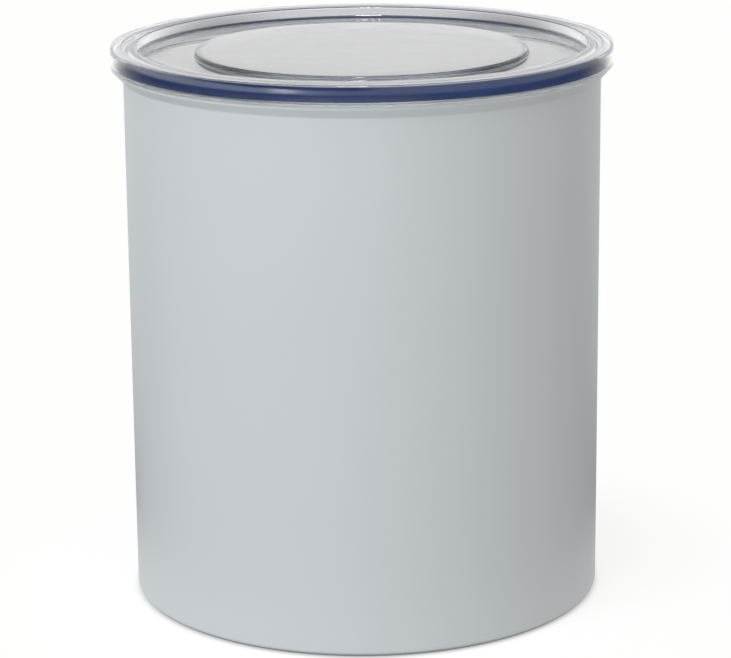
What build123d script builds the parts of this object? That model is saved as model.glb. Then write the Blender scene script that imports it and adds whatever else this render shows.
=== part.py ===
from build123d import *
import math
import os

os.makedirs("parts", exist_ok=True)

# Driving dimensions of the whole canister, in millimetres
total_height = 200.0
can_radius = 84.6
sheet = 0.6
overrun = 1.0

# Clearances shared by several pieces
seat_fit = 0.05
bearing_clearance = 0.05
wipe_clearance = 0.3
swing_clearance = 0.4

# Steel can: a drawn shell with an outward rolled lip and a raised base panel
lip_drop = 6.4
lip_overhang = 3.1
lip_height = 2.05
lip_top_round = 1.6
lip_under_round = 0.8
lip_neck_round = 1.2
mouth_round = 0.5
base_round = 2.6
base_ring_width = 6.5
base_panel_rise = 2.0
base_panel_run = 2.6
base_panel_round = 1.0

bore_radius = can_radius - sheet
lip_radius = can_radius + lip_overhang
crown_height = total_height - lip_drop

# Clear outer lid: raised centre disc, recessed annulus, thick rim with a sloping channel, and a thin skirt
lid_wall = 2.0
annulus_width = 21.1
disc_drop = 2.3
annulus_drop = 4.2
step_wall = 1.4
rim_round = 0.6
recess_round = 0.4
rim_widest_drop = 2.5
skirt_gap = 0.2
skirt_depth = 7.2
skirt_wall = 1.05
skirt_draft = 0.3
skirt_foot_round = 0.3
plug_gap = 2.7
plug_wall = 1.3
plug_inset = 0.7
plug_depth = 11.0
channel_drop = 0.8
channel_overhang = 1.6
channel_flat = 0.4
channel_foot_drop = 4.4
shoulder_drop = 6.1
lid_round = 0.6
lid_inner_round = 1.2

skirt_bore = lip_radius + skirt_gap
skirt_foot = skirt_bore + skirt_wall
lid_radius = skirt_foot + skirt_draft
plug_radius = bore_radius - plug_gap
channel_radius = bore_radius + channel_overhang
channel_edge = channel_radius - channel_flat
channel_slope = math.atan2(channel_foot_drop - channel_drop, channel_edge - plug_radius)
recess_radius = plug_radius - plug_wall
disc_radius = recess_radius - annulus_width
disc_top = total_height - disc_drop
disc_under = disc_top - lid_wall
annulus_top = total_height - annulus_drop
annulus_under = annulus_top - lid_wall

# Seal ring: it fills the rim's channel, bears on the rolled lip and reaches into the mouth
seal_foot_gap = 0.6
seal_ridge_height = 0.7
seal_ridge_width = 1.2
seal_ridge_pitch = 1.9
seal_ridge_count = 2
seal_round = 0.25

# Inner lid, pushed down the can on its wiper gasket
floor_wall = 2.2
plunger_wall = 2.2
plunger_gap = 3.8
plunger_rise = 8.0
plunger_skirt = 7.0
flange_gap = 1.4
flange_wall = 2.0
floor_round = 1.5
rib_count = 8
rib_wall = 1.6
rib_depth = 3.8
rib_overlap = 0.5
vent_radius = 8.0
seat_wall = 3.0
seat_height = 3.0
seat_round = 0.6
guard_radius = 14.2
guard_wall = 1.2
guard_ring_wall = 2.0
guard_ring_depth = 3.0
guard_hole_radius = 0.9
guard_hole_pitch = 3.4
guard_hole_rings = 3
boss_radius = 3.4
boss_depth = 5.0

# Clamp ring and wiper gasket round the inner lid
clamp_wall = 1.6
clamp_skirt = 2.0
clamp_round = 0.7
gasket_wall = 1.4
gasket_lip_run = 1.1
gasket_lip_rise = 2.3
gasket_lip_wall = 0.8
gasket_tip = 0.3
gasket_flare = 0.6

# Valve: a silicone disc hung on a stirrup that the handle's cam lifts
valve_lift = 2.5
valve_disc_radius = 12.5
valve_disc_wall = 2.0
valve_disc_round = 0.6
stirrup_flange_radius = 10.0
stirrup_flange_wall = 1.5
stirrup_wall = 2.0
stirrup_depth = 4.4
stirrup_bar = 1.6
stirrup_round = 0.8
stem_radius = 2.2
stem_reach = 1.4
retainer_radius = 5.0
retainer_wall = 1.2
spigot_radius = 3.2
spigot_height = 2.4
cam_radius = 4.0
cam_width = 5.0
cam_clearance = 0.1
cam_nose_clearance = 0.5
cam_points = 13
cam_turn = math.pi / 2
cam_back_turn = math.radians(135)

# Spring that holds the disc on its seat
spring_wire = 0.8
spring_radius = 4.4
spring_turns = 4
spring_pitch = 1.6
spring_steps_per_turn = 4
spring_samples_per_turn = 72

# Handle: a folding bail on a flatted shaft
handle_reach = 50.0
handle_headroom = 4.4
bail_width = 6.0
bail_depth = 6.0
bail_round = 2.0
eye_radius = 5.5
grip_groove_count = 7
grip_groove_radius = 0.8
grip_groove_depth = 0.5
grip_groove_turn = 11.0
shaft_radius = 2.5
shaft_flat = 0.6
cap_radius = 4.2
cap_wall = 1.2
cap_grip = 1.6
cap_round = 0.5

# Valve housing over the stirrup, with the shaft's two bearings
housing_radius = 18.0
housing_wall = 2.4
housing_roof = 1.8
housing_round = 1.6
housing_flange_margin = 3.8
housing_flange_wall = 2.4
turret_wall = 2.0
turret_clearance = 1.6
bearing_wall = 2.6
bearing_length = 2.2
air_slot_width = 3.0
air_slot_height = 5.0
air_slot_lift = 4.0
air_slot_count = 4
screw_circle = 21.6
screw_count = 4
screw_shank_radius = 1.5
screw_head_radius = 2.7
screw_head_height = 1.8
screw_head_round = 0.6
screw_length = 8.0
screw_drive_radius = 1.5
screw_drive_wall = 0.7
screw_drive_depth = 1.0

# Places worked out from the sizes above
cam_rate = valve_lift / cam_turn
cam_reach = math.hypot(cam_radius + valve_lift, cam_rate)
stirrup_floor = seat_height + valve_disc_wall + stirrup_flange_wall
shaft_rise = stirrup_floor + cam_radius + valve_lift + wipe_clearance
stirrup_window_top = shaft_rise + cam_radius + cam_clearance
stirrup_top = stirrup_window_top + stirrup_bar
stirrup_window = cam_reach + cam_nose_clearance
spring_height = spring_turns * spring_pitch + spring_wire
roof_under = stirrup_top + valve_lift + swing_clearance
turret_under = stirrup_top + spring_height
turret_radius = spring_radius + spring_wire / 2 + turret_clearance
housing_flange_radius = screw_circle + housing_flange_margin
floor_height = disc_under - handle_headroom - handle_reach - shaft_rise
shaft_height = floor_height + shaft_rise
plunger_radius = bore_radius - plunger_gap
plunger_bore = plunger_radius - plunger_wall
flange_radius = bore_radius - flange_gap
gasket_foot = floor_height - plunger_skirt + flange_wall
gasket_head = floor_height + plunger_rise - clamp_skirt
bearing_end = housing_radius + bearing_length
bail_inner = bearing_end + swing_clearance
bail_outer = bail_inner + bail_width
bow_centre = handle_reach - bail_outer


def turned(points, radii):
    """A ring or disc turned about Z from the outline of its section, with one radius a corner."""
    with BuildPart() as part:
        with BuildSketch(Plane.XZ):
            with BuildLine():
                FilletPolyline(*points, radius=radii, close=True)
            make_face()
        revolve(axis=Axis.Z)
    return part.part


def rod(radius, start, end, height):
    """A round bar along X between two places, with its axis at a height."""
    bar = Cylinder(radius, end - start, align=(Align.CENTER, Align.CENTER, Align.MIN))
    return Plane((start, 0, height), x_dir=(0, 1, 0), z_dir=(1, 0, 0)) * bar


def post(radius, start, end, x=0, y=0):
    """A round bar along Z between two heights."""
    bar = Cylinder(radius, end - start, align=(Align.CENTER, Align.CENTER, Align.MIN))
    return Pos(x, y, start) * bar


def flatted(radius, flat, start, end, height):
    """A round bar along X with a flat on its upper side, as the shaft and the holes that it keys into."""
    bar = rod(radius, start, end, height)
    side = 2 * radius
    block = Box(end - start, side, side, align=(Align.MIN, Align.CENTER, Align.MIN))
    return bar - Pos(start, 0, height + radius - flat) * block


def steel_can():
    """Drawn steel can: straight wall, rolled lip and a base panel raised off its standing ring."""
    ring = can_radius - base_round - base_ring_width
    lip_foot = crown_height - lip_height
    points = [
        (0, base_panel_rise),
        (ring - base_panel_run, base_panel_rise),
        (ring, 0),
        (can_radius, 0),
        (can_radius, lip_foot - lip_overhang),
        (lip_radius, lip_foot),
        (lip_radius, crown_height),
        (bore_radius, crown_height),
        (bore_radius, sheet),
        (ring, sheet),
        (ring - base_panel_run, base_panel_rise + sheet),
        (0, base_panel_rise + sheet),
    ]
    radii = [
        0,
        base_panel_round,
        base_panel_round,
        base_round,
        lip_neck_round,
        lip_under_round,
        lip_top_round,
        mouth_round,
        base_round - sheet,
        base_panel_round,
        base_panel_round,
        0,
    ]
    return turned(points, radii)


def clear_lid():
    """Clear lid: disc, annulus, recess wall, hollow rim with the seal's channel, plug and skirt."""
    disc_under_radius = disc_radius - step_wall
    points = [
        (0, disc_under),
        (disc_under_radius, disc_under),
        (disc_under_radius, annulus_under),
        (recess_radius - plug_inset, annulus_under),
        (recess_radius - plug_inset, total_height - plug_depth),
        (plug_radius, total_height - plug_depth),
        (plug_radius, total_height - channel_foot_drop),
        (channel_edge, total_height - channel_drop),
        (channel_radius, total_height - channel_drop),
        (channel_radius, total_height - shoulder_drop),
        (skirt_bore, total_height - shoulder_drop),
        (skirt_bore, total_height - skirt_depth),
        (skirt_foot, total_height - skirt_depth),
        (lid_radius, total_height - rim_widest_drop),
        (lid_radius, total_height),
        (recess_radius, total_height),
        (recess_radius, annulus_top),
        (disc_radius, annulus_top),
        (disc_radius, disc_top),
        (0, disc_top),
    ]
    radii = [
        0,
        lid_round,
        0,
        lid_round,
        lid_round,
        lid_round,
        0,
        0,
        0,
        skirt_foot_round,
        lid_round,
        skirt_foot_round,
        skirt_foot_round,
        0,
        rim_round,
        recess_round,
        lid_inner_round,
        lid_round,
        lid_round,
        0,
    ]
    return turned(points, radii)


def seal_ring():
    """Seal ring: a wedge in the rim's channel over the rolled lip, and a ridged lip inside the mouth."""
    inner = plug_radius + seat_fit
    outer = channel_radius - seat_fit
    wipe = bore_radius - wipe_clearance
    root = wipe - seal_ridge_height
    top = total_height - channel_drop - seat_fit
    bearing = crown_height + wipe_clearance
    foot = total_height - plug_depth + seal_foot_gap
    offset = seat_fit / math.cos(channel_slope)
    wedge_foot = total_height - channel_foot_drop + seat_fit * math.tan(channel_slope) - offset
    wedge_edge = channel_edge + (offset - seat_fit) / math.tan(channel_slope)
    points = [(inner, wedge_foot), (wedge_edge, top), (outer, top), (outer, bearing), (root, bearing)]
    radii = [0, 0, seal_round, seal_round, 0]
    for ridge in range(seal_ridge_count):
        crest = bearing - seal_ridge_width - ridge * seal_ridge_pitch
        points.append((root, crest + seal_ridge_width / 2))
        points.append((wipe, crest))
        points.append((root, crest - seal_ridge_width / 2))
        radii.extend([0, 0, 0])
    points.append((root, foot))
    points.append((inner, foot))
    radii.extend([seal_round, 0])
    return turned(points, radii)


def plunger_plate():
    """Inner lid's main moulding: floor, wall with its foot flange, valve seat, ribs and screw bosses."""
    foot = floor_height - plunger_skirt
    head = floor_height + plunger_rise
    under = floor_height - floor_wall
    seat_radius = vent_radius + seat_wall
    points = [
        (vent_radius, under),
        (plunger_bore, under),
        (plunger_bore, foot),
        (flange_radius, foot),
        (flange_radius, foot + flange_wall),
        (plunger_radius, foot + flange_wall),
        (plunger_radius, head),
        (plunger_bore, head),
        (plunger_bore, floor_height),
        (seat_radius, floor_height),
        (seat_radius, floor_height + seat_height),
        (vent_radius, floor_height + seat_height),
    ]
    radii = [0, floor_round, 0, 0, 0, 0, 0, 0, floor_round, seat_round, seat_round, seat_round]
    plate = turned(points, radii)
    ring_radius = guard_radius + seat_fit
    guard_ring = post(ring_radius + guard_ring_wall, under - guard_ring_depth, under)
    guard_ring -= post(ring_radius, under - guard_ring_depth - overrun, under)
    rib_start = ring_radius + guard_ring_wall - rib_overlap
    rib_length = plunger_bore + rib_overlap - rib_start
    rib = Box(rib_length, rib_wall, rib_depth, align=(Align.MIN, Align.CENTER, Align.MAX))
    extras = [guard_ring]
    for number in range(rib_count):
        turn = Rot(0, 0, (number + 0.5) * 360 / rib_count)
        extras.append(turn * Pos(rib_start, 0, under) * rib)
    for x, y in screw_places():
        extras.append(post(boss_radius, under - boss_depth, under, x, y))
    plate = plate.fuse(*extras)
    holes = []
    for x, y in screw_places():
        holes.append(post(screw_shank_radius + seat_fit, screw_foot() - seat_fit, floor_height + overrun, x, y))
    return plate.cut(*holes)


def screw_places():
    """Centres of the housing's screws, between the bearings and the air slots."""
    turns = [math.radians((number + 0.5) * 360 / screw_count) for number in range(screw_count)]
    return [(screw_circle * math.cos(turn), screw_circle * math.sin(turn)) for turn in turns]


def screw_foot():
    """Height of the screws' lower ends."""
    return floor_height + housing_flange_wall - screw_length


def clamp_ring():
    """Ring snapped over the inner lid's wall, holding the gasket down."""
    head = floor_height + plunger_rise + seat_fit
    inner = plunger_radius + seat_fit
    points = [
        (plunger_bore, head),
        (inner, head),
        (inner, gasket_head),
        (flange_radius, gasket_head),
        (flange_radius, head + clamp_wall),
        (plunger_bore, head + clamp_wall),
    ]
    return turned(points, [0, 0, 0, 0, clamp_round, clamp_round])


def wiper_gasket():
    """Double-lipped silicone wiper that follows the can's bore."""
    inner = plunger_radius + seat_fit
    band = inner + gasket_wall
    tip = bore_radius - wipe_clearance
    neck = tip - gasket_lip_run
    low = gasket_foot
    high = gasket_head
    points = [
        (inner, low),
        (neck, low),
        (tip - gasket_tip, low - gasket_flare - gasket_tip),
        (tip, low - gasket_flare),
        (band, low + gasket_lip_rise),
        (band, high - gasket_lip_rise),
        (tip, high + gasket_flare),
        (tip - gasket_tip, high + gasket_flare + gasket_tip),
        (neck, high),
        (inner, high),
    ]
    return turned(points, [0, 0, 0, 0, gasket_lip_wall, gasket_lip_wall, 0, 0, 0, 0])


def valve_housing():
    """Housing over the valve: flange, wall with air slots, roof with the spring's turret, bearings."""
    inner = housing_radius - housing_wall
    roof = floor_height + roof_under
    turret = floor_height + turret_under
    points = [
        (inner, floor_height),
        (housing_flange_radius, floor_height),
        (housing_flange_radius, floor_height + housing_flange_wall),
        (housing_radius, floor_height + housing_flange_wall),
        (housing_radius, roof + housing_roof),
        (turret_radius + turret_wall, roof + housing_roof),
        (turret_radius + turret_wall, turret + housing_roof),
        (0, turret + housing_roof),
        (0, turret),
        (turret_radius, turret),
        (turret_radius, roof),
        (inner, roof),
    ]
    radii = [0, 0, seat_round, seat_round, housing_round, seat_round, housing_round, 0, 0, 0, 0, housing_round]
    housing = turned(points, radii)
    bearing_radius = shaft_radius + bearing_clearance + bearing_wall
    bearings = []
    for side in (-1, 1):
        ends = sorted((side * (inner + housing_wall / 2), side * bearing_end))
        bearings.append(rod(bearing_radius, *ends, shaft_height))
    housing = housing.fuse(*bearings)
    cuts = [rod(shaft_radius + bearing_clearance, -bearing_end - overrun, bearing_end + overrun, shaft_height)]
    slot = Box(air_slot_width, 2 * housing_radius, air_slot_height, align=(Align.CENTER, Align.MIN, Align.MIN))
    for number in range(air_slot_count):
        turn = Rot(0, 0, (number + 0.5) * 360 / air_slot_count)
        cuts.append(turn * Pos(0, 0, floor_height + air_slot_lift) * slot)
    for x, y in screw_places():
        low = floor_height - overrun
        high = floor_height + housing_flange_wall + overrun
        cuts.append(post(screw_shank_radius + seat_fit, low, high, x, y))
    return housing.cut(*cuts)


def housing_screws():
    """Pan-head screws that hold the housing to the inner lid."""
    face = floor_height + housing_flange_wall
    screws = []
    for x, y in screw_places():
        head = post(screw_head_radius, face, face + screw_head_height, x, y)
        head = fillet(head.edges().sort_by(Axis.Z)[-1], screw_head_round)
        screw = head.fuse(post(screw_shank_radius, screw_foot(), face, x, y))
        arm = Box(2 * screw_drive_radius, screw_drive_wall, screw_drive_depth + overrun)
        top = face + screw_head_height - screw_drive_depth + (screw_drive_depth + overrun) / 2
        place = Pos(x, y, top)
        screws.append(screw.cut(place * arm, place * Rot(0, 0, 90) * arm))
    return Compound(children=[solid for screw in screws for solid in screw.solids()])


def vent_guard():
    """Perforated disc under the vent that keeps grounds off the valve."""
    under = floor_height - floor_wall
    disc = post(guard_radius, under - guard_wall, under)
    holes = []
    for ring in range(1, guard_hole_rings + 1):
        radius = ring * guard_hole_pitch
        for number in range(6 * ring):
            turn = 2 * math.pi * number / (6 * ring)
            x = radius * math.cos(turn)
            y = radius * math.sin(turn)
            holes.append(post(guard_hole_radius, under - guard_wall - overrun, under + overrun, x, y))
    return disc.cut(*holes)


def cam_face():
    """Cam outline: its reach towards the follower grows evenly with the turn, so the lift is even too."""
    curve = []
    for number in range(cam_points):
        turn = cam_turn * number / (cam_points - 1)
        reach = cam_radius + cam_rate * turn
        across = reach * math.sin(turn) + cam_rate * math.cos(turn)
        up = reach * math.cos(turn) - cam_rate * math.sin(turn)
        curve.append((across, up))
    back = (cam_radius * math.sin(cam_back_turn), cam_radius * math.cos(cam_back_turn))
    with BuildSketch(Plane((0, 0, shaft_height), x_dir=(0, 1, 0), z_dir=(1, 0, 0))) as sketch:
        with BuildLine():
            Spline(*curve)
            Polyline(curve[-1], back, (0, 0), (0, cam_radius), curve[0])
        make_face()
        Circle(cam_radius)
    return sketch.sketch


def valve_cam():
    """Cam keyed to the middle of the shaft."""
    cam = extrude(cam_face(), cam_width / 2, both=True)
    half = cam_width / 2 + overrun
    return cam - flatted(shaft_radius + seat_fit, shaft_flat, -half, half, shaft_height)


def pivot_shaft():
    """Flatted steel shaft through both arms, both bearings and the cam."""
    end = bail_outer + cap_grip
    return flatted(shaft_radius, shaft_flat, -end, end, shaft_height)


def shaft_caps():
    """Push-on caps at the shaft's ends."""
    caps = []
    for side in (-1, 1):
        near = side * (bail_outer + seat_fit)
        far = side * (bail_outer + cap_grip + cap_wall)
        cap = rod(cap_radius, *sorted((near, far)), shaft_height)
        rim = cap.edges().filter_by(GeomType.CIRCLE).sort_by(Axis.X)[0 if side < 0 else -1]
        cap = fillet(rim, cap_round)
        hole_ends = sorted((side * bail_outer, side * (bail_outer + cap_grip + seat_fit)))
        caps.append(cap - flatted(shaft_radius + seat_fit, shaft_flat, *hole_ends, shaft_height))
    return Compound(children=[solid for cap in caps for solid in cap.solids()])


def handle_bail():
    """D-shaped folding handle, lying flat towards +Y, with an eye at the end of each arm."""
    with BuildPart() as bail:
        with BuildSketch(Plane.XY.offset(shaft_height)):
            with BuildLine():
                Polyline((-bail_inner, 0), (-bail_outer, 0), (-bail_outer, bow_centre))
                ThreePointArc((-bail_outer, bow_centre), (0, bow_centre + bail_outer), (bail_outer, bow_centre))
                Polyline((bail_outer, bow_centre), (bail_outer, 0), (bail_inner, 0), (bail_inner, bow_centre))
                ThreePointArc((bail_inner, bow_centre), (0, bow_centre + bail_inner), (-bail_inner, bow_centre))
                Line((-bail_inner, bow_centre), (-bail_inner, 0))
            make_face()
        extrude(amount=bail_depth / 2, both=True)
        faces = bail.faces().filter_by(Axis.Z)
        fillet([edge for face in faces for edge in face.edges() if edge.center().Y > overrun], bail_round)
    shape = bail.part
    groove_path = bow_centre + bail_outer - bail_width / 2
    grooves = []
    for number in range(grip_groove_count):
        turn = (number - (grip_groove_count - 1) / 2) * grip_groove_turn
        lift = bail_depth / 2 + grip_groove_radius - grip_groove_depth
        for height in (shaft_height - lift, shaft_height + lift):
            groove = Rot(90, 0, 0) * Cylinder(grip_groove_radius, bail_width + 2 * overrun)
            place = Pos(0, bow_centre, height) * Rot(0, 0, turn) * Pos(0, groove_path - bow_centre, 0)
            grooves.append(place * groove)
    shape = shape.cut(*grooves)
    eyes = []
    holes = []
    for side in (-1, 1):
        ends = sorted((side * bail_inner, side * bail_outer))
        eyes.append(rod(eye_radius, *ends, shaft_height))
        hole = (ends[0] - overrun, ends[1] + overrun)
        holes.append(flatted(shaft_radius + seat_fit, shaft_flat, *hole, shaft_height))
    return shape.fuse(*eyes).cut(*holes)


def valve_stirrup():
    """Stirrup round the cam: flange on the disc, two legs, a top bar with the spring's spigot, a stem."""
    low = floor_height + seat_height + valve_disc_wall
    high = floor_height + stirrup_top
    half = stirrup_window + stirrup_wall
    frame = Box(stirrup_depth, 2 * half, high - low, align=(Align.CENTER, Align.CENTER, Align.MIN))
    frame = Pos(0, 0, low) * frame
    frame = fillet(frame.edges().filter_by(Axis.X).group_by(Axis.Z)[-1], stirrup_round)
    window_low = floor_height + stirrup_floor
    window_high = floor_height + stirrup_window_top
    window = Box(
        stirrup_depth + 2 * overrun,
        2 * stirrup_window,
        window_high - window_low,
        align=(Align.CENTER, Align.CENTER, Align.MIN),
    )
    frame -= Pos(0, 0, window_low) * window
    flange = post(stirrup_flange_radius, low, window_low)
    stem = post(stem_radius, floor_height + seat_height - retainer_wall - stem_reach, low)
    spigot = post(spigot_radius, high, high + spigot_height)
    spigot = fillet(spigot.edges().sort_by(Axis.Z)[-1], stirrup_round)
    return frame.fuse(flange, stem, spigot)


def valve_disc():
    """Silicone disc that closes the vent."""
    low = floor_height + seat_height
    hole = stem_radius + seat_fit
    points = [
        (hole, low),
        (valve_disc_radius, low),
        (valve_disc_radius, low + valve_disc_wall),
        (hole, low + valve_disc_wall),
    ]
    return turned(points, [0, valve_disc_round, valve_disc_round, 0])


def disc_retainer():
    """Push-on washer that keeps the disc on the stem."""
    high = floor_height + seat_height
    washer = post(retainer_radius, high - retainer_wall, high)
    washer -= post(stem_radius + seat_fit, high - retainer_wall - overrun, high + overrun)
    return washer


def valve_spring():
    """Open compression spring, one unbroken wire, from a pair of arcs for each quarter turn."""
    start = floor_height + stirrup_top + spring_wire / 2
    steps = spring_turns * spring_steps_per_turn
    slope = spring_pitch / (2 * math.pi)

    def place(turn):
        return Vector(spring_radius * math.cos(turn), spring_radius * math.sin(turn), start + slope * turn)

    def heading(turn):
        return Vector(-spring_radius * math.sin(turn), spring_radius * math.cos(turn), slope).normalized()

    edges = []
    for number in range(steps):
        turns = [2 * math.pi * (number + share) / spring_steps_per_turn for share in (0, 1)]
        a, b = (place(turn) for turn in turns)
        u, v = (heading(turn) for turn in turns)
        chord = b - a
        both = u + v
        bend = 2 * (1 - u.dot(v))
        reach = (math.sqrt(chord.dot(both) ** 2 + bend * chord.dot(chord)) - chord.dot(both)) / bend
        middle = (a + u * reach + b - v * reach) * 0.5
        edges.append(Edge.make_tangent_arc(a, u, middle))
        turn_on = (b - v * reach) - (a + u * reach)
        edges.append(Edge.make_tangent_arc(middle, turn_on.normalized(), b))
    path = Wire(edges)
    section = Plane(origin=place(0), z_dir=heading(0)) * Circle(spring_wire / 2)
    sample_count = spring_samples_per_turn * spring_turns + 1
    samples = [place(2 * math.pi * number / spring_samples_per_turn) for number in range(sample_count)]
    half_turn = spring_samples_per_turn // 2
    gap = min((a - b).length for i, a in enumerate(samples) for b in samples[i + half_turn:]) - spring_wire
    print(f"spring: least gap between turns {gap:.2f} mm")
    return sweep(section, path=path)


NODES = {
    "canister_shell": steel_can,
    "lid_shell": clear_lid,
    "lid_seal": seal_ring,
    "plunger_plate": plunger_plate,
    "clamp_ring": clamp_ring,
    "wiper_gasket": wiper_gasket,
    "valve_housing": valve_housing,
    "housing_screws": housing_screws,
    "vent_guard": vent_guard,
    "handle_bail": handle_bail,
    "pivot_shaft": pivot_shaft,
    "valve_cam": valve_cam,
    "shaft_caps": shaft_caps,
    "valve_stirrup": valve_stirrup,
    "valve_disc": valve_disc,
    "disc_retainer": disc_retainer,
    "valve_spring": valve_spring,
}

for node, make in NODES.items():
    export_step(make(), f"parts/{node}.step")

print(f"shaft axis {shaft_height:.2f} mm, floor {floor_height:.2f} mm, cam rate {cam_rate:.6f} mm per radian")
print(f"turret top {floor_height + turret_under + housing_roof:.2f} mm, lid disc underside {disc_under:.2f} mm")
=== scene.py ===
# %% [markdown]
# A coffee canister, made in two kinds of piece.
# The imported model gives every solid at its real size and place, and which body each one moves with.
# This script dresses it: the round, visible pieces are turned again with fine steps, and every
# surface gets a finish that is worked out from what the real material is.

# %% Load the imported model
import math
import bpy
import numpy as np
from mathutils import Matrix, Vector


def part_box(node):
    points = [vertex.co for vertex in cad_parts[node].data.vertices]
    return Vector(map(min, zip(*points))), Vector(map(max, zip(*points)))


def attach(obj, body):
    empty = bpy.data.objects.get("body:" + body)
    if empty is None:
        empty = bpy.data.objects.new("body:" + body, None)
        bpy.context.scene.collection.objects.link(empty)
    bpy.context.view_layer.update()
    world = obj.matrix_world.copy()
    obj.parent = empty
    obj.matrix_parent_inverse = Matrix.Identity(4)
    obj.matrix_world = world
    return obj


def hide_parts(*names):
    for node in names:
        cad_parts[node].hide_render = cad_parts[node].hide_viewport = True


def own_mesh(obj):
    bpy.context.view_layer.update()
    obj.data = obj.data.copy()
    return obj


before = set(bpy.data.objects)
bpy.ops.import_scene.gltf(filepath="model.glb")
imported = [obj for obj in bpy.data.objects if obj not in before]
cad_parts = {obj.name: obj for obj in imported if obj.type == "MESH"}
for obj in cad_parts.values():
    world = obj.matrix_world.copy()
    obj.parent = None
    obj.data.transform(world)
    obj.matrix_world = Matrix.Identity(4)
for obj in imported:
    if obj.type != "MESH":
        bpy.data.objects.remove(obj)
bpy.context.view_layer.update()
print("nodes:", sorted(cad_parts))

# %% [markdown]
# Blender counts in metres and a drawing of a canister is in millimetres, so one value turns the one
# into the other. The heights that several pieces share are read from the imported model, and the
# details of each section are written where its piece is made.

# %% Units and shared places
MM = 0.001
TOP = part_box("lid_shell")[1][2] / MM
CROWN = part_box("canister_shell")[1][2] / MM
CAN_RADIUS = 84.6
SHEET = 0.6
BORE = CAN_RADIUS - SHEET
print(f"lid top {TOP:.1f} mm, crown of the rolled lip {CROWN:.1f} mm")

# %% [markdown]
# Nearly every piece here is round, so it can be drawn as half of its section and turned about the
# upright axis, as on a lathe. A real section has no dead-sharp corners: a tool or a mould rounds
# them, and the small round is what catches the light. So the section is written as corners, each
# with its own radius, and one function swaps each corner for a smooth arc.

# %% Round the corners of a section
ARC_STEP = math.radians(7.5)


def rounded(corners):
    """Section with its corners rounded. Each corner is (radius from the axis, height, corner radius).

    For a corner with half-angle h between its two sides, the arc of radius q touches each side at
    q / tan(h) from the corner, and its centre lies q / sin(h) away along the bisector.
    """
    points = np.array([corner[:2] for corner in corners], float)
    count = len(points)
    out = []
    for number, corner in enumerate(corners):
        here = points[number]
        radius = corner[2]
        if radius == 0:
            out.append(here[None])
            continue
        back = points[number - 1] - here
        ahead = points[(number + 1) % count] - here
        back = back / np.linalg.norm(back)
        ahead = ahead / np.linalg.norm(ahead)
        half = math.acos(np.clip(back @ ahead, -1, 1)) / 2
        bisector = (back + ahead) / np.linalg.norm(back + ahead)
        centre = here + bisector * radius / math.sin(half)
        start = here + back * radius / math.tan(half) - centre
        turn = math.pi - 2 * half
        side = np.sign(back[0] * ahead[1] - back[1] * ahead[0])
        steps = np.linspace(0, -side * turn, max(3, math.ceil(turn / ARC_STEP)) + 1)
        across = np.array([-start[1], start[0]])
        out.append(centre + np.cos(steps)[:, None] * start + np.sin(steps)[:, None] * across)
    return np.concatenate(out)


def refined(section, longest):
    """Section with its long straight runs cut into steps no longer than the given length."""
    ends = np.roll(section, -1, axis=0)
    pieces = []
    for a, b in zip(section[:-1], ends[:-1]):
        steps = max(1, math.ceil(np.linalg.norm(b - a) / longest))
        pieces.append(a + (b - a) * np.linspace(0, 1, steps, endpoint=False)[:, None])
    return np.concatenate(pieces + [section[-1:]])


# %% [markdown]
# Turning the section gives a grid: one direction runs along the section, the other goes round.
# All its points are worked out at once, and only the list of faces differs where the section meets
# the axis, because there a whole ring of the grid shrinks to one point.

# %% Turn a section into a mesh
SEGMENTS = 360


def turned(name, section, segments=SEGMENTS, smooth_angle=35):
    """Turns a section, in millimetres, about Z.

    A section point (r, z) goes to (r cos t, r sin t, z) for even turns t. The section runs
    anticlockwise, so faces point outwards. If it starts and ends on the axis it is closed by two
    poles, and otherwise it is a loop that closes on itself.
    """
    turns = np.arange(segments) * 2 * np.pi / segments
    solid = section[0, 0] < 1e-6 and section[-1, 0] < 1e-6
    rings = section[1:-1] if solid else section
    radius, height = rings.T
    grid = np.empty((len(rings), segments, 3))
    grid[..., 0] = radius[:, None] * np.cos(turns)
    grid[..., 1] = radius[:, None] * np.sin(turns)
    grid[..., 2] = height[:, None]
    places = grid.reshape(-1, 3)
    low = np.arange(len(rings) - 1 if solid else len(rings))
    ring, step = np.meshgrid(low, np.arange(segments), indexing="ij")
    above = (ring + 1) % len(rings)
    beside = (step + 1) % segments
    quads = np.stack([ring * segments + step, ring * segments + beside, above * segments + beside,
                      above * segments + step], axis=-1).reshape(-1, 4)
    corners = [quads.ravel()]
    totals = [np.full(len(quads), 4)]
    if solid:
        foot = len(places)
        step = np.arange(segments)
        beside = (step + 1) % segments
        last = (len(rings) - 1) * segments
        places = np.concatenate([places, [[0, 0, section[0, 1]], [0, 0, section[-1, 1]]]])
        fan_low = np.stack([np.full(segments, foot), beside, step], axis=-1)
        fan_high = np.stack([np.full(segments, foot + 1), last + step, last + beside], axis=-1)
        corners += [fan_low.ravel(), fan_high.ravel()]
        totals += [np.full(segments, 3), np.full(segments, 3)]
    return mesh_piece(name, places * MM, np.concatenate(corners), np.concatenate(totals), smooth_angle)


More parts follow.
